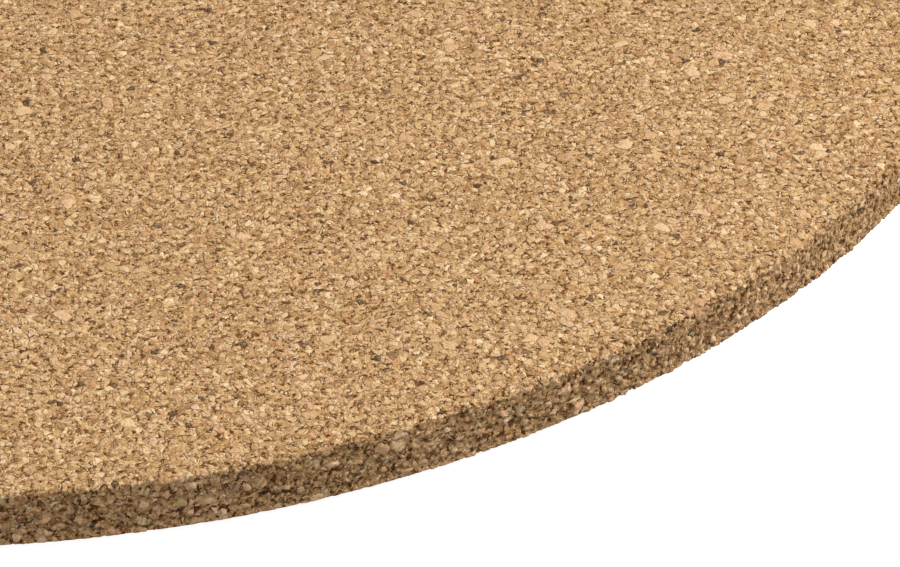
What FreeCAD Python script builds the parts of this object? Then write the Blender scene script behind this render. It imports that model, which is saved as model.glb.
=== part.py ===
"""Frameless round cork bulletin board, lying on its back.

One solid disc of agglomerated cork is the whole board: there is no frame and no backing sheet.
Double-sided foam pads are stuck to its back, one in the middle and a ring of them near the rim,
and fix it to a wall. Each pad's free side is covered by a paper release liner with a lift tab.

The frame: millimetres, +Z up, origin on the disc's axis in the plane that the liners rest on.
"""

import FreeCAD
import Part

import os

# The cork disc
BOARD_DIAMETER = 380.0
BOARD_THICKNESS = 10.0
FACE_EDGE_RADIUS = 0.8  # worn edge round the face that takes the pins
BACK_EDGE_RADIUS = 0.4  # cleaner edge round the back

# The foam mounting pads
PAD_SIDE = 25.0
PAD_THICKNESS = 1.0
PAD_CORNER_RADIUS = 2.0
PAD_RIM_MARGIN = 25.0  # from a ring pad's outer side to the disc's rim
RING_PADS = 6

# The release liners
LINER_THICKNESS = 0.12
LINER_CORNER_RADIUS = 2.5
LINER_OVERHANG = 0.5  # past the pad on its three plain sides
LINER_TAB = 5.0  # past the pad on its tab side

LINER_TOP = LINER_THICKNESS
PAD_TOP = LINER_TOP + PAD_THICKNESS
BOARD_TOP = PAD_TOP + BOARD_THICKNESS
RING_RADIUS = BOARD_DIAMETER / 2 - PAD_RIM_MARGIN - PAD_SIDE / 2


def circular_edges_at(solid, height):
    """The full circles of a solid that lie in one level plane."""
    return [
        edge
        for edge in solid.Edges
        if isinstance(edge.Curve, Part.Circle) and abs(edge.Curve.Center.z - height) < 1e-6
    ]


def rounded_sheet(x_low, x_high, half_width, thickness, corner_radius, bottom):
    """A flat sheet with round corners, lying level on the plane at bottom."""
    sheet = Part.makeBox(
        x_high - x_low,
        2 * half_width,
        thickness,
        FreeCAD.Vector(x_low, -half_width, bottom),
    )
    upright_edges = [
        edge
        for edge in sheet.Edges
        if abs(edge.Vertexes[0].Point.z - edge.Vertexes[-1].Point.z) > thickness / 2
    ]
    return sheet.makeFillet(corner_radius, upright_edges)


def cork_panel():
    disc = Part.makeCylinder(
        BOARD_DIAMETER / 2, BOARD_THICKNESS, FreeCAD.Vector(0, 0, PAD_TOP)
    )
    disc = disc.makeFillet(FACE_EDGE_RADIUS, circular_edges_at(disc, BOARD_TOP))
    return disc.makeFillet(BACK_EDGE_RADIUS, circular_edges_at(disc, PAD_TOP))


def mounting_pad():
    half = PAD_SIDE / 2
    return rounded_sheet(-half, half, half, PAD_THICKNESS, PAD_CORNER_RADIUS, LINER_TOP)


def release_liner():
    """A liner for one pad. Its lift tab sticks out on the side that faces the disc's rim."""
    half = PAD_SIDE / 2
    return rounded_sheet(
        -half - LINER_OVERHANG,
        half + LINER_TAB,
        half + LINER_OVERHANG,
        LINER_THICKNESS,
        LINER_CORNER_RADIUS,
        0.0,
    )


def pad_placements():
    """Where each pad sits: the middle one first, then the ring, each with its tab outwards."""
    middle = FreeCAD.Placement()
    ring = []
    for number in range(RING_PADS):
        turn = FreeCAD.Rotation(FreeCAD.Vector(0, 0, 1), number * 360.0 / RING_PADS)
        ring.append(FreeCAD.Placement(turn.multVec(FreeCAD.Vector(RING_RADIUS, 0, 0)), turn))
    return [middle] + ring


def placed(solid, placement):
    moved = solid.copy()
    moved.Placement = placement.multiply(moved.Placement)
    return moved


def build():
    nodes = {"cork_panel": cork_panel()}
    for number, placement in enumerate(pad_placements(), start=1):
        nodes[f"mounting_pad_{number}"] = placed(mounting_pad(), placement)
        nodes[f"release_liner_{number}"] = placed(release_liner(), placement)
    return nodes


def main():
    os.makedirs("parts", exist_ok=True)
    for name, solid in build().items():
        solid.exportStep(os.path.join("parts", name + ".step"))
        size = solid.optimalBoundingBox()
        print(
            f"{name}: {size.XLength:.1f} x {size.YLength:.1f} x {size.ZLength:.2f} mm, "
            f"{solid.Volume / 1000:.2f} cm3, valid {solid.isValid()}"
        )


main()
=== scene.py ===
import math

import bmesh
import bpy
from mathutils import Matrix, Vector


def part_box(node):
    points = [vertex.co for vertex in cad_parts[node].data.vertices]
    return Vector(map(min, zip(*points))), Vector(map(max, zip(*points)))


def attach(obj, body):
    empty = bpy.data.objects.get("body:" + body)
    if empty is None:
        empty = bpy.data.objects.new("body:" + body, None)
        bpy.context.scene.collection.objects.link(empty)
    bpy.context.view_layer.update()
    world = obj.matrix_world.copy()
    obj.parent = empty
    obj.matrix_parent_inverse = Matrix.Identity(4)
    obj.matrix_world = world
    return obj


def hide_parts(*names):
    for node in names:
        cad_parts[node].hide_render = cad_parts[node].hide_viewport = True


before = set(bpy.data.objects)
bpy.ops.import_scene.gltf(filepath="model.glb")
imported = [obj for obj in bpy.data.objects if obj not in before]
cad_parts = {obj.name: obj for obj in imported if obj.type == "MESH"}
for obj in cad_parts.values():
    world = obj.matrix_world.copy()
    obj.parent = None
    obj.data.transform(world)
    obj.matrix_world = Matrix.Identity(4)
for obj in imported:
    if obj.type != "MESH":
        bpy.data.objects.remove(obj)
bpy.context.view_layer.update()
millimetre = 0.001
print("frame loaded:", len(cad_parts), "nodes")


# Camera

shot = {
    "stand": (0.0, -0.6417, 0.3885),  # the height is above the board's face
    "yaw": 7.53,  # degrees to the right of +Y
    "pitch": 37.95,  # degrees below the horizon
    "lens": 160.0,
    "sensor": 36.0,
}


def placeCamera(faceHeight):
    data = bpy.data.cameras.new("camera")
    data.lens = shot["lens"]
    data.sensor_width = shot["sensor"]
    data.clip_start = 0.01
    data.clip_end = 30.0
    camera = bpy.data.objects.new("camera", data)
    x, y, z = shot["stand"]
    camera.location = (x, y, z + faceHeight)
    camera.rotation_euler = (math.radians(90 - shot["pitch"]), 0, math.radians(-shot["yaw"]))
    bpy.context.scene.collection.objects.link(camera)
    bpy.context.scene.camera = camera


# Small helpers

def makePiece(name, bm, material, body="root"):
    mesh = bpy.data.meshes.new(name)
    bm.to_mesh(mesh)
    bm.free()
    mesh.materials.append(material)
    piece = bpy.data.objects.new(name, mesh)
    bpy.context.scene.collection.objects.link(piece)
    if body:
        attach(piece, body)
    return piece


# Bakes a piece's modifiers into its mesh
def applyModifiers(piece):
    graph = bpy.context.evaluated_depsgraph_get()
    mesh = bpy.data.meshes.new_from_object(piece.evaluated_get(graph), depsgraph=graph)
    old = piece.data
    piece.modifiers.clear()
    piece.data = mesh
    mesh.name = piece.name
    bpy.data.meshes.remove(old)


def screenColour(red, green, blue):
    def linear(value):
        share = value / 255
        return share / 12.92 if share <= 0.04045 else ((share + 0.055) / 1.055) ** 2.4

    return (linear(red), linear(green), linear(blue), 1.0)


# Node helpers, for shader trees and geometry trees alike

def addNode(tree, kind, inputs=None, **settings):
    node = tree.nodes.new(kind)
    for name, value in settings.items():
        setattr(node, name, value)
    for name, value in (inputs or {}).items():
        plug(tree, value, node.inputs[name])
    return node


def plug(tree, value, socket):
    if isinstance(value, bpy.types.NodeSocket):
        tree.links.new(value, socket)
    else:
        socket.default_value = value


def maths(tree, operation, *values, clamp=False):
    node = addNode(tree, "ShaderNodeMath", operation=operation, use_clamp=clamp)
    for value, socket in zip(values, node.inputs):
        plug(tree, value, socket)
    return node.outputs["Value"]


def vectorMaths(tree, operation, *values, result="Vector"):
    node = addNode(tree, "ShaderNodeVectorMath", operation=operation)
    sockets = [socket for socket in node.inputs if socket.enabled]
    for value, socket in zip(values, sockets):
        plug(tree, value, socket)
    return node.outputs[result]


# A number carried smoothly from one range to another
def ramp(tree, value, low, high, atLow=0.0, atHigh=1.0):
    node = addNode(tree, "ShaderNodeMapRange", interpolation_type="SMOOTHSTEP")
    for socket, number in zip(node.inputs, (value, low, high, atLow, atHigh)):
        plug(tree, number, socket)
    return node.outputs["Result"]


def mixed(tree, share, first, second, kind="FLOAT", blend="MIX"):
    node = addNode(tree, "ShaderNodeMix", data_type=kind, clamp_factor=True)
    if kind == "RGBA":
        node.blend_type = blend
    factor, a, b = [socket for socket in node.inputs if socket.enabled]
    for value, socket in zip((share, first, second), (factor, a, b)):
        plug(tree, value, socket)
    return [socket for socket in node.outputs if socket.enabled][0]


def noise(tree, place, size, detail=2.0, roughness=0.5):
    return addNode(
        tree, "ShaderNodeTexNoise", noise_dimensions="3D",
        inputs={"Vector": place, "Scale": 1 / size, "Detail": detail, "Roughness": roughness},
    )


def startGroup(name, kind, sockets):
    group = bpy.data.node_groups.new(name, kind)
    for label, way, socketType, *value in sockets:
        socket = group.interface.new_socket(label, in_out=way, socket_type=socketType)
        if value:
            socket.default_value = value[0]
    return group, addNode(group, "NodeGroupInput"), addNode(group, "NodeGroupOutput")


# How cork granules pack

granules = {
    "sizes": (2.1 * millimetre, 1.2 * millimetre, 0.68 * millimetre),
    "kept": (0.04, 0.36),  # share of the two larger sizes that stay whole
    "toned": ((0.12, 0.66), (0.0, 0.84)),  # which of the tones the whole ones take, off the palest
    "tilt": (0.4, 0.75, 1.0),  # larger granules lie flatter
    "bend": (0.7 * millimetre, 1.8 * millimetre),  # how far borders wander, over what length
    "fray": (0.22 * millimetre, 0.48 * millimetre),
    "crumb": 0.72 * millimetre,  # the crumbly break of the cork inside a granule
    "fine": 0.42 * millimetre,
}


def wandering(tree, place, reach, size):
    drift = vectorMaths(tree, "SUBTRACT", noise(tree, place, size, 1.0).outputs["Color"], (0.5, 0.5, 0.5))
    node = addNode(tree, "ShaderNodeVectorMath", operation="SCALE")
    plug(tree, drift, node.inputs[0])
    node.inputs["Scale"].default_value = 2 * reach
    return vectorMaths(tree, "ADD", place, node.outputs["Vector"])


# Large granules with smaller ones packed between them. Gives each point its granule's three random
# numbers, the distance to the granule's border and how far the granule's tipped face lies up or down.
def packGranules(tree, place):
    bent = wandering(tree, place, *granules["bend"])
    bent = wandering(tree, bent, *granules["fray"])
    tint = border = lean = None
    for level, size in reversed(list(enumerate(granules["sizes"]))):
        shape = {"Vector": bent, "Scale": 1 / size, "Randomness": 1.0}
        cell = addNode(tree, "ShaderNodeTexVoronoi", voronoi_dimensions="3D", feature="F1", inputs=shape)
        wall = addNode(
            tree, "ShaderNodeTexVoronoi", voronoi_dimensions="3D", feature="DISTANCE_TO_EDGE", inputs=shape
        )
        colour = cell.outputs["Color"]
        distance = maths(tree, "MULTIPLY", wall.outputs["Distance"], size)
        offset = vectorMaths(tree, "SUBTRACT", bent, cell.outputs["Position"])
        # turned round, because the first number chooses the whole granules and would tip them all one way
        parts = addNode(tree, "ShaderNodeSeparateXYZ", inputs={"Vector": colour}).outputs
        turned = addNode(
            tree, "ShaderNodeCombineXYZ", inputs={"X": parts["Y"], "Y": parts["Z"], "Z": parts["X"]}
        ).outputs["Vector"]
        slope = vectorMaths(tree, "SUBTRACT", turned, (0.5, 0.5, 0.5))
        tipped = vectorMaths(tree, "DOT_PRODUCT", offset, slope, result="Value")
        tipped = maths(tree, "MULTIPLY", tipped, granules["tilt"][level])
        if tint is None:
            tint, border, lean = colour, distance, tipped
            continue
        whole = maths(tree, "LESS_THAN", parts["X"], granules["kept"][level])
        # a fresh first number, because the old one has chosen the whole granules
        low, high = granules["toned"][level]
        stretch = ((high - low) / granules["kept"][level], 1.0, 1.0)
        reused = vectorMaths(tree, "MULTIPLY_ADD", colour, stretch, (low, 0.0, 0.0))
        tint = mixed(tree, whole, tint, reused, "VECTOR")
        border = maths(tree, "MINIMUM", distance, maths(tree, "ADD", border, whole))
        lean = mixed(tree, whole, lean, tipped)
    return tint, border, lean


def crumble(tree, place):
    return noise(tree, place, granules["crumb"], 3.0, 0.6).outputs["Fac"]


# The board's own sizes

boardLow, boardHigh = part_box("cork_panel")
board = {
    "radius": (boardHigh.x - boardLow.x) / 2,
    "back": boardLow.z,
    "face": boardHigh.z,
    "slabs": 3,  # slabs each way: the board is drawn in slabs so that each keeps a fine mesh
    "faceStep": 0.52 * millimetre,
    "backStep": 1.3 * millimetre,
}
rim = {
    "pieces": 8,
    "band": 3.0 * millimetre,  # how far the rim's pieces reach in over the face and the back
    "blend": 1.9 * millimetre,  # this far in from the wall the smooth face starts to turn rough
    "corner": 0.7 * millimetre,  # and from here on out it is as rough as the wall
    "faceRound": 0.8 * millimetre,
    "backRound": 0.4 * millimetre,
    "faceSteps": 4,
    "backSteps": 2,
    "step": 0.235 * millimetre,
    "turns": 24,  # straight lengths in one piece, too short to see
}
relief = {
    "faceDip": 0.16 * millimetre,  # how deep the borders between the granules sink on the cut face
    "faceDipReach": 0.45 * millimetre,
    "faceTip": 0.10,  # how steeply a granule tips on the face, as rimTip says it for the wall
    "rimLevel": 0.28 * millimetre,  # how unevenly the granules stand on the wall
    "rimInward": 0.7,  # the share of that unevenness that goes inwards
    "rimTip": 0.52,
    "rimDip": 0.24 * millimetre,
    "rimDipReach": 0.35 * millimetre,
    "missing": 0.07,  # share of the granules that are torn out of the wall
    "hole": 0.42 * millimetre,
    "wave": 0.08 * millimetre,
    "waveSize": 5 * millimetre,
    "cleanBand": 1.6 * millimetre,  # how far up from the back the wall is cleaner cut
    "cleanShare": (0.24, 0.80),  # the relief left at the back: where the cut is clean, and where torn
    "tearing": (0.03, 0.12),  # between these, along X, the cut turns from clean to torn
    "faceCrumb": 0.12 * millimetre,
    "rimCrumb": 0.30 * millimetre,
}


# The way out from the axis, how far out a point is, and how far it is into the rough band round the
# rim: 0 on the faces and 1 on the wall
def placeAtRim(tree, place):
    spread = vectorMaths(tree, "MULTIPLY", place, (1.0, 1.0, 0.0))
    out = vectorMaths(tree, "LENGTH", spread, result="Value")
    rough = ramp(tree, out, board["radius"] - rim["blend"], board["radius"] - rim["corner"])
    return spread, out, rough


# Moves the board's skin in and out, granule by granule
def makeRelief():
    tree, start, end = startGroup("corkRelief", "GeometryNodeTree", [
        ("Geometry", "INPUT", "NodeSocketGeometry"),
        ("Geometry", "OUTPUT", "NodeSocketGeometry"),
    ])
    place = addNode(tree, "GeometryNodeInputPosition").outputs["Position"]
    tint, border, lean = packGranules(tree, place)
    spread, out, rough = placeAtRim(tree, place)

    # the way out of the board: up on the face, down on the back, outwards on the wall
    height = addNode(tree, "ShaderNodeSeparateXYZ", inputs={"Vector": place}).outputs["Z"]
    reach = rim["faceRound"]
    held = maths(tree, "MINIMUM", height, board["face"] - reach)
    held = maths(tree, "MAXIMUM", held, board["back"] + reach)
    over = addNode(tree, "ShaderNodeCombineXYZ", inputs={"Z": maths(tree, "SUBTRACT", height, held)})
    beyond = maths(tree, "MAXIMUM", maths(tree, "SUBTRACT", out, board["radius"] - reach), 0.0)
    outward = addNode(tree, "ShaderNodeVectorMath", operation="SCALE")
    plug(tree, vectorMaths(tree, "NORMALIZE", spread), outward.inputs[0])
    plug(tree, beyond, outward.inputs["Scale"])
    way = vectorMaths(tree, "ADD", outward.outputs["Vector"], over.outputs["Vector"])
    way = vectorMaths(tree, "NORMALIZE", way)

    # on the cut faces the borders dip and each granule tips a little
    dip = ramp(tree, border, 0.0, relief["faceDipReach"], -relief["faceDip"], 0.0)
    flat = maths(tree, "ADD", dip, maths(tree, "MULTIPLY", lean, relief["faceTip"]))

    # on the wall whole granules stand out or are torn away
    parts = addNode(tree, "ShaderNodeSeparateXYZ", inputs={"Vector": tint}).outputs
    level = maths(tree, "SUBTRACT", parts["Y"], relief["rimInward"])
    level = maths(tree, "MULTIPLY", level, relief["rimLevel"])
    torn = maths(tree, "LESS_THAN", parts["Z"], relief["missing"])
    level = maths(tree, "SUBTRACT", level, maths(tree, "MULTIPLY", torn, relief["hole"]))
    groove = ramp(tree, border, 0.0, relief["rimDipReach"], -relief["rimDip"], 0.0)
    tipped = maths(tree, "MULTIPLY", lean, relief["rimTip"])
    slow = maths(tree, "SUBTRACT", noise(tree, place, relief["waveSize"]).outputs["Fac"], 0.5)
    wave = maths(tree, "MULTIPLY", slow, 2 * relief["wave"])
    broken = maths(tree, "ADD", maths(tree, "ADD", level, groove), maths(tree, "ADD", tipped, wave))
    crumb = maths(tree, "SUBTRACT", crumble(tree, place), 0.5)
    flat = maths(tree, "ADD", flat, maths(tree, "MULTIPLY", crumb, 2 * relief["faceCrumb"]))
    broken = maths(tree, "ADD", broken, maths(tree, "MULTIPLY", crumb, 2 * relief["rimCrumb"]))

    # the board is cut from its back, so the wall is cleaner towards the back
    along = addNode(tree, "ShaderNodeSeparateXYZ", inputs={"Vector": place}).outputs["X"]
    least = ramp(tree, along, *relief["tearing"], *relief["cleanShare"])
    clean = ramp(tree, height, board["back"], board["back"] + relief["cleanBand"], least, 1.0)
    broken = maths(tree, "MULTIPLY", broken, clean)

    shift = addNode(tree, "ShaderNodeVectorMath", operation="SCALE")
    plug(tree, way, shift.inputs[0])
    plug(tree, mixed(tree, rough, flat, broken), shift.inputs["Scale"])
    moved = addNode(tree, "GeometryNodeSetPosition", inputs={
        "Geometry": start.outputs["Geometry"], "Offset": shift.outputs["Vector"],
    })
    tree.links.new(moved.outputs["Geometry"], end.inputs["Geometry"])
    return tree


# Cork finish

corkLook = {
    # share of the granules below each tone, and the tone
    "tones": (
        (0.00, (80, 62, 48)),
        (0.012, (104, 80, 58)),
        (0.03, (159, 122, 82)),
        (0.25, (184, 147, 106)),
        (0.60, (200, 166, 127)),
        (0.88, (210, 180, 146)),
        (0.98, (215, 187, 155)),
        (1.00, (225, 202, 173)),
    ),
    # painted shade: the dark brown laid in the open gaps between granules and in tiny pits
    "creviceShade": (88, 48, 8),
    # painted shade, laid in the low places of the crumbly break
    "cavityShade": (144, 98, 46),
    # lighter on the raised crumbs: partly the cork's own pale crumbs, partly a painted highlight
    "paleCrumbAndHighlight": (215, 187, 155),
    "olive": (247, 253, 247),
    "rosy": (254, 246, 247),
    # painted shade: the granules' borders tinted browner and darker, standing in for light bounced in the
    # cracks between them
    "tintedShade": (252, 240, 214),
    "tintedShadeReach": 0.20 * millimetre,
    "nearShadeReach": (0.05 * millimetre, 0.40 * millimetre),  # the painted shade in low places and pits is strongest near the granules' borders, where granules crumble most
    "cavityShadeShare": 0.36,
    "paleCrumbAndHighlightShare": 0.28,
    "pitShadeShare": 0.36,
    "gapWidth": 0.07 * millimetre,
    "gapLength": 1.1 * millimetre,  # gaps open and close along a border over about this length
    "gapFade": (-0.02 * millimetre, 0.035 * millimetre),
    "gapLean": (-0.09 * millimetre, 0.03 * millimetre),  # the painted shade in a gap is darkest beside a granule's low side
    "rimGap": 1.7,  # how much wider the gaps are on the wall
    "shine": 0.12,
}
corkBump = {
    "crumb": 0.42 * millimetre,
    "fine": 0.22 * millimetre,
    "gap": 0.12 * millimetre,
    "dome": 0.14 * millimetre,
    "domeReach": 0.22 * millimetre,
    "tip": 0.82,
}


def makeCorkGrain():
    tree, start, end = startGroup("corkGrain", "ShaderNodeTree", [
        ("Vector", "INPUT", "NodeSocketVector"),
        ("Gap Width", "INPUT", "NodeSocketFloat", corkLook["gapWidth"]),
        ("Rim Wear", "INPUT", "NodeSocketFloat", 1.0),
        ("Color", "OUTPUT", "NodeSocketColor"),
        ("Roughness", "OUTPUT", "NodeSocketFloat"),
        ("Height", "OUTPUT", "NodeSocketFloat"),
    ])
    place = start.outputs["Vector"]
    tint, border, lean = packGranules(tree, place)
    rough = maths(tree, "MULTIPLY", placeAtRim(tree, place)[2], start.outputs["Rim Wear"])
    parts = addNode(tree, "ShaderNodeSeparateXYZ", inputs={"Vector": tint}).outputs

    # each granule's own tone and hue
    tones = addNode(tree, "ShaderNodeValToRGB", inputs={"Fac": parts["X"]})
    marks = tones.color_ramp.elements
    while len(marks) < len(corkLook["tones"]):
        marks.new(0.5)
    for mark, (share, tone) in zip(marks, corkLook["tones"]):
        mark.position = share
        mark.color = screenColour(*tone)
    hue = mixed(
        tree, parts["Y"], screenColour(*corkLook["olive"]), screenColour(*corkLook["rosy"]), "RGBA"
    )
    colour = mixed(tree, 1.0, tones.outputs["Color"], hue, "RGBA", "MULTIPLY")
    # painted shade: browner, darker borders, standing in for light bounced in the cracks
    tintedShade = ramp(tree, border, 0.0, corkLook["tintedShadeReach"], 1.0, 0.0)
    colour = mixed(tree, tintedShade, colour, screenColour(*corkLook["tintedShade"]), "RGBA", "MULTIPLY")

    # crumbly break, stronger in some granules than in others and strongest on the wall, with painted shade
    # in its low places
    crumb = crumble(tree, place)
    near = ramp(tree, border, *corkLook["nearShadeReach"], 1.0, 0.30)
    fine = noise(tree, place, granules["fine"], 2.0, 0.6).outputs["Fac"]
    coarse = maths(tree, "MAXIMUM", ramp(tree, parts["Z"], 0.2, 0.9, 0.45, 1.0), rough)
    below = ramp(tree, crumb, 0.50, 0.28, 0.0, corkLook["cavityShadeShare"])
    cavityShade = maths(tree, "MULTIPLY", below, maths(tree, "MULTIPLY", coarse, near))
    colour = mixed(tree, cavityShade, colour, screenColour(*corkLook["cavityShade"]), "RGBA")
    # paler where the fine crumb stands up: partly pale cork, partly a painted highlight
    paleCrumbAndHighlights = ramp(tree, fine, 0.46, 0.74, 0.0, corkLook["paleCrumbAndHighlightShare"])
    colour = mixed(tree, paleCrumbAndHighlights, colour, screenColour(*corkLook["paleCrumbAndHighlight"]), "RGBA")

    # gaps open along part of the borders only; the dark brown laid in them is painted shade
    opened = ramp(tree, noise(tree, place, corkLook["gapLength"], 1.0).outputs["Fac"], 0.44, 0.58)
    width = maths(tree, "MULTIPLY", opened, start.outputs["Gap Width"])
    width = maths(tree, "MULTIPLY", width, ramp(tree, rough, 0.0, 1.0, 1.0, corkLook["rimGap"]))
    gap = ramp(tree, maths(tree, "SUBTRACT", border, width), *corkLook["gapFade"], 1.0, 0.0)
    gap = maths(tree, "MULTIPLY", gap, ramp(tree, opened, 0.0, 1.0, 0.10, 1.0))
    gap = maths(tree, "MULTIPLY", gap, ramp(tree, lean, *corkLook["gapLean"], 1.0, 0.3))
    # painted shade in tiny pits, where the fine crumb lies low
    pitShade = maths(tree, "MULTIPLY", ramp(tree, fine, 0.44, 0.28, 0.0, corkLook["pitShadeShare"]), near)
    dark = maths(tree, "MAXIMUM", gap, pitShade)
    colour = mixed(tree, dark, colour, screenColour(*corkLook["creviceShade"]), "RGBA")
    tree.links.new(colour, end.inputs["Color"])

    height = maths(tree, "MULTIPLY", maths(tree, "MULTIPLY", crumb, coarse), corkBump["crumb"])
    height = maths(tree, "ADD", height, maths(tree, "MULTIPLY", fine, corkBump["fine"]))
    height = maths(tree, "SUBTRACT", height, maths(tree, "MULTIPLY", gap, corkBump["gap"]))
    dome = ramp(tree, border, 0.0, corkBump["domeReach"], 0.0, corkBump["dome"])
    tipped = maths(tree, "MULTIPLY", lean, corkBump["tip"])
    height = maths(tree, "ADD", height, maths(tree, "ADD", dome, tipped))
    tree.links.new(height, end.inputs["Height"])
    tree.links.new(ramp(tree, fine, 0.3, 0.7, 0.90, 0.68), end.inputs["Roughness"])
    return tree


def makeCork():
    material = bpy.data.materials.new("agglomeratedCork")
    material.use_nodes = True
    tree = material.node_tree
    surface = tree.nodes["Principled BSDF"]
    place = addNode(tree, "ShaderNodeTexCoord").outputs["Object"]
    grain = addNode(tree, "ShaderNodeGroup", node_tree=makeCorkGrain(), inputs={"Vector": place})
    bump = addNode(tree, "ShaderNodeBump", inputs={"Height": grain.outputs["Height"], "Distance": 1.0})
    tree.links.new(grain.outputs["Color"], surface.inputs["Base Color"])
    tree.links.new(grain.outputs["Roughness"], surface.inputs["Roughness"])
    tree.links.new(bump.outputs["Normal"], surface.inputs["Normal"])
    surface.inputs["Specular IOR Level"].default_value = corkLook["shine"]
    return material


# The cork board's mesh

# A level sheet of square cells, cut to the circle where it reaches past it
def layCells(bm, low, high, level, step, reach):
    across, along = high[0] - low[0], high[1] - low[1]
    made = bmesh.ops.create_grid(
        bm, x_segments=round(across / step), y_segments=round(along / step), size=0.5,
        matrix=Matrix.Translation(((low[0] + high[0]) / 2, (low[1] + high[1]) / 2, level))
        @ Matrix.Diagonal((across, along, 1, 1)),
    )["verts"]
    outside = [vert for vert in made if vert.co.xy.length > reach]
    touched = {face for vert in outside for face in vert.link_faces}
    drop = [face for face in touched if all(vert.co.xy.length >= reach for vert in face.verts)]
    bmesh.ops.delete(bm, geom=drop, context="FACES")
    kept = [v for v in bm.verts if v.is_valid and abs(v.co.z - level) < step / 10]
    for vert in kept:
        if vert.co.xy.length > reach:
            vert.co.xy *= reach / vert.co.xy.length
    return kept


def makeSlab(number, low, high, material, reliefTree):
    bm = bmesh.new()
    reach = board["radius"] - rim["band"]
    layCells(bm, low, high, board["face"], board["faceStep"], reach)
    layCells(bm, low, high, board["back"], board["backStep"], reach)
    for face in bm.faces:
        face.smooth = True
    borders = [edge for edge in bm.edges if edge.is_boundary]
    for edge in borders:
        edge.smooth = False
    bmesh.ops.bridge_loops(bm, edges=borders)
    bmesh.ops.recalc_face_normals(bm, faces=bm.faces)
    drawSlabMap(bm, low, high)
    piece = makePiece(f"cork_slab_{number}", bm, material)
    shapeWith(piece, reliefTree)
    return piece


# Bands of the maps, from the bottom up, in shares of a map's side
mapSpan = (0.002, 0.998)
slabMap = {"sides": (0.002, 0.038), "back": (0.045, 0.295), "face": (0.300, 0.998)}
rimMap = {"inside": (0.002, 0.042), "ends": (0.050, 0.095), "skin": (0.105, 0.995)}


def between(span, share):
    return span[0] + (span[1] - span[0]) * share


# The slab's map: the face takes most of it, then the back, then the hidden cut sides
def drawSlabMap(bm, low, high):
    layer = bm.loops.layers.uv.new("OFBake")
    for face in bm.faces:
        normal = face.normal
        for loop in face.loops:
            x, y, z = loop.vert.co
            u = (x - low[0]) / (high[0] - low[0])
            v = (y - low[1]) / (high[1] - low[1])
            w = (z - board["back"]) / (board["face"] - board["back"])
            if normal.z > 0.5:
                loop[layer].uv = (between(mapSpan, u), between(slabMap["face"], v))
            elif normal.z < -0.5:
                loop[layer].uv = (between(mapSpan, u), between(slabMap["back"], v))
            else:
                loop[layer].uv = (between(mapSpan, (u + v) / 2), between(slabMap["sides"], w))


def shapeWith(piece, reliefTree):
    carving = piece.modifiers.new("granules", "NODES")
    carving.node_group = reliefTree
    applyModifiers(piece)


# One length of the rim: the wall, its two worn corners and a band of the face and of the back
def sweepRim():
    bm = bmesh.new()
    inside, outside = board["radius"] - rim["band"], board["radius"]
    back, face = board["back"], board["face"]
    spots = ((inside, back), (outside, back), (outside, face), (inside, face))
    corners = [bm.verts.new((out, 0, height)) for out, height in spots]
    bm.faces.new(corners)
    for corner, size, steps in (
        (corners[2], rim["faceRound"], rim["faceSteps"]), (corners[1], rim["backRound"], rim["backSteps"])
    ):
        bmesh.ops.bevel(
            bm, geom=[corner], offset=size, affect="VERTICES", segments=steps, profile=0.5, material=-1
        )
    for edge in list(bm.edges):
        hidden = max(v.co.x for v in edge.verts) < inside + rim["step"]
        cuts = 0 if hidden else round(edge.calc_length() / rim["step"]) - 1
        if cuts > 0:
            bmesh.ops.subdivide_edges(bm, edges=[edge], cuts=cuts)
    bmesh.ops.delete(bm, geom=list(bm.faces), context="FACES_ONLY")

    span = 2 * math.pi / rim["pieces"]
    first = list(bm.edges)
    swept = bmesh.ops.spin(
        bm, geom=list(bm.verts) + first, cent=(0, 0, 0), axis=(0, 0, 1), angle=span,
        steps=rim["turns"], use_merge=False,
    )["geom_last"]
    last = [item for item in swept if isinstance(item, bmesh.types.BMEdge)]
    ends = set(first + last)
    level = [edge for edge in bm.edges if edge not in ends and not liesInSection(edge)]
    cuts = round(span * outside / rim["turns"] / rim["step"]) - 1
    bmesh.ops.subdivide_edges(bm, edges=level, cuts=cuts, use_grid_fill=True)
    for face in bm.faces:
        face.smooth = True
    for side in (first, last):
        for edge in side:
            edge.smooth = False
        bmesh.ops.contextual_create(bm, geom=side)
    bmesh.ops.recalc_face_normals(bm, faces=bm.faces)
    drawRimMap(bm, span, inside)
    return bm, span


# Whether an edge runs up and down the section, not along the rim
def liesInSection(edge):
    a, b = (math.atan2(v.co.y, v.co.x) for v in edge.verts)
    return abs(a - b) < 1e-5


def makeRimPiece(number, swept, span, material, reliefTree):
    bm = swept.copy()
    bmesh.ops.rotate(bm, verts=bm.verts, matrix=Matrix.Rotation(span * (number - 1), 3, "Z"))
    piece = makePiece(f"cork_rim_{number}", bm, material)
    shapeWith(piece, reliefTree)
    return piece


# The rim's map: unrolled along the rim, with the section's two ends and hidden inner side below
def drawRimMap(bm, span, inside):
    layer = bm.loops.layers.uv.new("OFBake")
    middle = (board["face"] + board["back"]) / 2
    tall = board["face"] - board["back"]
    for face in bm.faces:
        centre = face.calc_center_median()
        flatEnd = len(face.verts) > 4
        hidden = centre.xy.length < inside + rim["step"] / 4
        for loop in face.loops:
            out, height = loop.vert.co.xy.length, loop.vert.co.z
            along = math.atan2(loop.vert.co.y, loop.vert.co.x) / span
            up = (height - board["back"]) / tall
            if flatEnd:
                half = (0.1, 0.4) if along < 0.5 else (0.6, 0.9)
                outwards = (out - inside) / rim["band"]
                loop[layer].uv = (between(half, up), between(rimMap["ends"], outwards))
            elif hidden:
                loop[layer].uv = (between(mapSpan, along), between(rimMap["inside"], up))
            else:
                around = math.atan2(height - middle, max(out - inside, 0.0)) / math.pi + 0.5
                loop[layer].uv = (between(mapSpan, along), between(rimMap["skin"], around))


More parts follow.
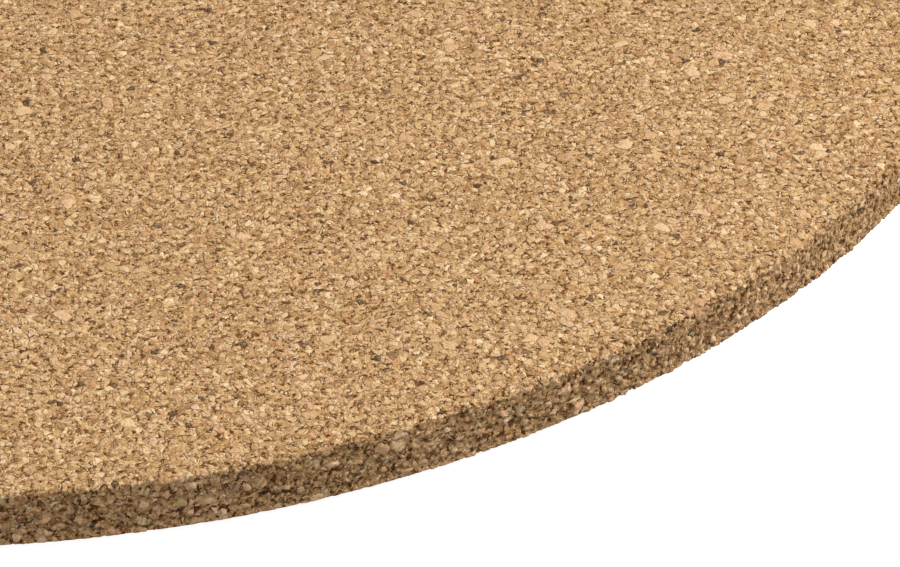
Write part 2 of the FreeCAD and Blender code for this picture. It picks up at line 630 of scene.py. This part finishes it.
def buildBoard():
    cork = makeCork()
    reliefTree = makeRelief()
    made = []
    reach = board["radius"] - rim["band"]
    edges = [-reach + 2 * reach * number / board["slabs"] for number in range(board["slabs"] + 1)]
    for row in range(board["slabs"]):
        for column in range(board["slabs"]):
            low, high = (edges[column], edges[row]), (edges[column + 1], edges[row + 1])
            made.append(makeSlab(len(made) + 1, low, high, cork, reliefTree))
    print("slabs:", len(made), "triangles in the middle one:", 2 * len(made[len(made) // 2].data.polygons))
    swept, span = sweepRim()
    for number in range(1, rim["pieces"] + 1):
        made.append(makeRimPiece(number, swept, span, cork, reliefTree))
    swept.free()
    print("rim pieces:", rim["pieces"], "triangles in one:", 2 * len(made[-1].data.polygons))
    for piece in made:
        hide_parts("cork_panel")
    return made


# Foam mounting pads and their release liners, in pairs: the middle pair, then the ring

pads = {
    "pairs": 7,
    "cornerRadius": 2.0 * millimetre,
    "waist": 0.09 * millimetre,  # how far the die-cut sides pull in between the glue lines
    "layers": 8,
    "edgeRound": 0.05 * millimetre,
}
liner = {
    "cornerRadius": 2.5 * millimetre,
    "curl": 0.55 * millimetre,  # how far the free tab lifts towards the cork
    "curlStart": 0.8 * millimetre,  # past the pad's edge
    "curlSteps": 12,
}
foamLook = {
    "skin": (238, 236, 229),
    "shade": (206, 203, 193),
    "cell": 0.30 * millimetre,
    "cellDepth": 0.10 * millimetre,
    "fleckScale": 900.0,
}
paperLook = {
    "sheet": (238, 224, 190),
    "fibre": (220, 199, 158),
    "fibreSize": 0.55 * millimetre,
    "fibreStretch": 4.0,
    "fibreDepth": 0.012 * millimetre,
    "cloudScale": 260.0,
}


# Soft flecks of any size, drawn out along X, for foam and paper alike
def makeFlecks():
    tree, start, end = startGroup("flecks", "ShaderNodeTree", [
        ("Vector", "INPUT", "NodeSocketVector"),
        ("Scale", "INPUT", "NodeSocketFloat", 1000.0),
        ("Stretch", "INPUT", "NodeSocketFloat", 1.0),
        ("Mask", "OUTPUT", "NodeSocketFloat"),
    ])
    squeeze = maths(tree, "DIVIDE", 1.0, start.outputs["Stretch"])
    along = addNode(tree, "ShaderNodeCombineXYZ", inputs={"X": squeeze, "Y": 1.0, "Z": 1.0})
    place = vectorMaths(tree, "MULTIPLY", start.outputs["Vector"], along.outputs["Vector"])
    flecks = addNode(tree, "ShaderNodeTexNoise", inputs={
        "Vector": place, "Scale": start.outputs["Scale"],
        "Detail": 3.0, "Roughness": 0.6, "Distortion": 0.6,
    })
    tree.links.new(ramp(tree, flecks.outputs["Fac"], 0.38, 0.64), end.inputs["Mask"])
    return tree


def makeFoam(flecks):
    material = bpy.data.materials.new("closedCellFoam")
    material.use_nodes = True
    tree = material.node_tree
    surface = tree.nodes["Principled BSDF"]
    place = addNode(tree, "ShaderNodeTexCoord").outputs["Object"]
    cells = addNode(
        tree, "ShaderNodeTexVoronoi", feature="SMOOTH_F1",
        inputs={"Vector": place, "Scale": 1 / foamLook["cell"], "Smoothness": 0.3},
    ).outputs["Distance"]
    mottle = addNode(tree, "ShaderNodeGroup", node_tree=flecks, inputs={
        "Vector": place, "Scale": foamLook["fleckScale"],
    })
    # painted shade: the foam darkens towards the borders between its cells, where the skin sinks in; random
    # flecks darken it as well
    shade = maths(tree, "MULTIPLY", ramp(tree, cells, 0.25, 0.75), 0.7)
    shade = maths(tree, "MAXIMUM", shade, maths(tree, "MULTIPLY", mottle.outputs["Mask"], 0.25))
    skin = mixed(tree, shade, screenColour(*foamLook["skin"]), screenColour(*foamLook["shade"]), "RGBA")
    bump = addNode(tree, "ShaderNodeBump", invert=True, inputs={
        "Height": maths(tree, "MULTIPLY", cells, foamLook["cellDepth"]), "Distance": 1.0,
    })
    tree.links.new(skin, surface.inputs["Base Color"])
    tree.links.new(ramp(tree, cells, 0.2, 0.8, 0.62, 0.85), surface.inputs["Roughness"])
    tree.links.new(bump.outputs["Normal"], surface.inputs["Normal"])
    return material


def makePaper(flecks):
    material = bpy.data.materials.new("waxedPaper")
    material.use_nodes = True
    tree = material.node_tree
    surface = tree.nodes["Principled BSDF"]
    place = addNode(tree, "ShaderNodeTexCoord").outputs["Object"]
    fibres = addNode(tree, "ShaderNodeGroup", node_tree=flecks, inputs={
        "Vector": place, "Scale": 1 / paperLook["fibreSize"], "Stretch": paperLook["fibreStretch"],
    }).outputs["Mask"]
    clouds = addNode(tree, "ShaderNodeGroup", node_tree=flecks, inputs={
        "Vector": place, "Scale": paperLook["cloudScale"],
    })
    share = maths(tree, "MULTIPLY", fibres, ramp(tree, clouds.outputs["Mask"], 0.0, 1.0, 0.25, 0.6))
    sheet = mixed(tree, share, screenColour(*paperLook["sheet"]), screenColour(*paperLook["fibre"]), "RGBA")
    bump = addNode(tree, "ShaderNodeBump", inputs={
        "Height": maths(tree, "MULTIPLY", fibres, paperLook["fibreDepth"]), "Distance": 1.0,
    })
    tree.links.new(sheet, surface.inputs["Base Color"])
    tree.links.new(ramp(tree, fibres, 0.0, 1.0, 0.36, 0.52), surface.inputs["Roughness"])
    tree.links.new(bump.outputs["Normal"], surface.inputs["Normal"])
    return material


def roundedFace(bm, low, high, radius):
    spots = ((low.x, low.y), (high.x, low.y), (high.x, high.y), (low.x, high.y))
    corners = [bm.verts.new((x, y, low.z)) for x, y in spots]
    bm.faces.new(corners)
    bmesh.ops.bevel(
        bm, geom=corners, offset=radius, affect="VERTICES", segments=8, profile=0.5, material=-1
    )


def raiseFaces(bm, faces, height):
    raised = bmesh.ops.extrude_face_region(bm, geom=faces, use_keep_orig=True)["geom"]
    verts = [item for item in raised if isinstance(item, bmesh.types.BMVert)]
    bmesh.ops.translate(bm, verts=verts, vec=(0, 0, height))
    return [item for item in raised if isinstance(item, bmesh.types.BMFace)]


# A pad cut square from foam sheet, with sides that pull in a little
def cutPad():
    low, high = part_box("mounting_pad_1")
    bm = bmesh.new()
    roundedFace(bm, low, high, pads["cornerRadius"])
    height = (high.z - low.z) / pads["layers"]
    top = list(bm.faces)
    for layer in range(pads["layers"]):
        lowered = top
        top = raiseFaces(bm, lowered, height)
        if layer:
            bmesh.ops.delete(bm, geom=lowered, context="FACES_ONLY")
    side = high.x - low.x
    for vert in bm.verts:
        share = (vert.co.z - low.z) / (high.z - low.z)
        vert.co.xy *= 1 - 2 * pads["waist"] * math.sin(math.pi * share) / side
    bmesh.ops.recalc_face_normals(bm, faces=bm.faces)
    rims = [edge for edge in bm.edges if edge.calc_face_angle(0) > math.radians(60)]
    bmesh.ops.bevel(
        bm, geom=rims, offset=pads["edgeRound"], affect="EDGES", segments=2, profile=0.5, material=-1
    )
    return bm


# A liner wider than its pad, with a tab that curls up past the pad's edge
def cutLiner():
    low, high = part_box("release_liner_1")
    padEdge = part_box("mounting_pad_1")[1].x
    bm = bmesh.new()
    roundedFace(bm, low, high, liner["cornerRadius"])
    start = padEdge + liner["curlStart"]
    span = high.x - start
    for step in range(liner["curlSteps"]):
        bmesh.ops.bisect_plane(
            bm, geom=list(bm.verts) + list(bm.edges) + list(bm.faces),
            plane_co=(start + span * step / liner["curlSteps"], 0, 0), plane_no=(1, 0, 0),
        )
    raiseFaces(bm, list(bm.faces), high.z - low.z)
    for vert in bm.verts:
        beyond = max(vert.co.x - start, 0.0) / span
        vert.co.z += liner["curl"] * beyond ** 2
    bmesh.ops.recalc_face_normals(bm, faces=bm.faces)
    return bm


def buildPads():
    flecks = makeFlecks()
    foam, paper = makeFoam(flecks), makePaper(flecks)
    padShape, linerShape = cutPad(), cutLiner()
    for number in range(1, pads["pairs"] + 1):
        low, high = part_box(f"mounting_pad_{number}")
        centre = (low + high) / 2
        centre.z = 0.0
        turn = math.atan2(centre.y, centre.x) if centre.length > millimetre else 0.0
        spot = Matrix.Translation(centre) @ Matrix.Rotation(turn, 4, "Z")
        for shape, name, material, slot, node in (
            (padShape, "foam_pad", foam, "pad_foam", "mounting_pad"),
            (linerShape, "liner", paper, "liner_paper", "release_liner"),
        ):
            bm = shape.copy()
            bm.transform(spot)
            piece = makePiece(f"{name}_{number}", bm, material)
            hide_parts(f"{node}_{number}")
    padShape.free()
    linerShape.free()
    print("pads and liners:", pads["pairs"], "pairs")


# Floor and light

studio = {
    "floorSize": 8.0,
    "floorGrey": 0.55,
    "floorGlow": 0.94,  # only as the camera sees it, so the floor lights nothing
    "keyPlace": (1.28, 0.07, 1.04),
    "keySize": 1.0,
    "keyPower": 41.0,
    "fillPlace": (-0.25, -0.62, 1.50),
    "fillSize": 0.40,
    "fillPower": 13.2,
    "skyStrength": 0.23,
}


def makeStudio():
    bm = bmesh.new()
    bmesh.ops.create_grid(bm, x_segments=1, y_segments=1, size=studio["floorSize"] / 2)
    paper = bpy.data.materials.new("whitePaper")
    paper.use_nodes = True
    sheet = paper.node_tree.nodes["Principled BSDF"]
    grey = studio["floorGrey"]
    sheet.inputs["Base Color"].default_value = (grey, grey, grey, 1)
    sheet.inputs["Emission Color"].default_value = (1, 1, 1, 1)
    seen = addNode(paper.node_tree, "ShaderNodeLightPath").outputs["Is Camera Ray"]
    paper.node_tree.links.new(
        maths(paper.node_tree, "MULTIPLY", seen, studio["floorGlow"]), sheet.inputs["Emission Strength"]
    )
    sheet.inputs["Roughness"].default_value = 0.95
    sheet.inputs["Specular IOR Level"].default_value = 0.1
    floor = makePiece("floor", bm, paper, body=None)

    hangLamp("key")
    hangLamp("fill")

    # an even white sky, dimmer as a light than it looks
    world = bpy.data.worlds.new("studio")
    world.use_nodes = True
    sky = world.node_tree
    seen = addNode(sky, "ShaderNodeLightPath").outputs["Is Camera Ray"]
    sky.nodes["Background"].inputs["Color"].default_value = (1, 1, 1, 1)
    plug(sky, mixed(sky, seen, studio["skyStrength"], 1.0), sky.nodes["Background"].inputs["Strength"])
    bpy.context.scene.world = world
    bpy.context.scene.view_settings.view_transform = "Standard"


def hangLamp(name):
    light = bpy.data.lights.new(name, "AREA")
    light.shape = "DISK"
    light.size = studio[name + "Size"]
    light.energy = studio[name + "Power"]
    lamp = bpy.data.objects.new(name, light)
    lamp.location = studio[name + "Place"]
    lamp.rotation_euler = Vector(studio[name + "Place"]).to_track_quat("Z", "Y").to_euler()
    bpy.context.scene.collection.objects.link(lamp)


placeCamera(board["face"])
makeStudio()
print("camera, floor and light placed")
buildBoard()
buildPads()
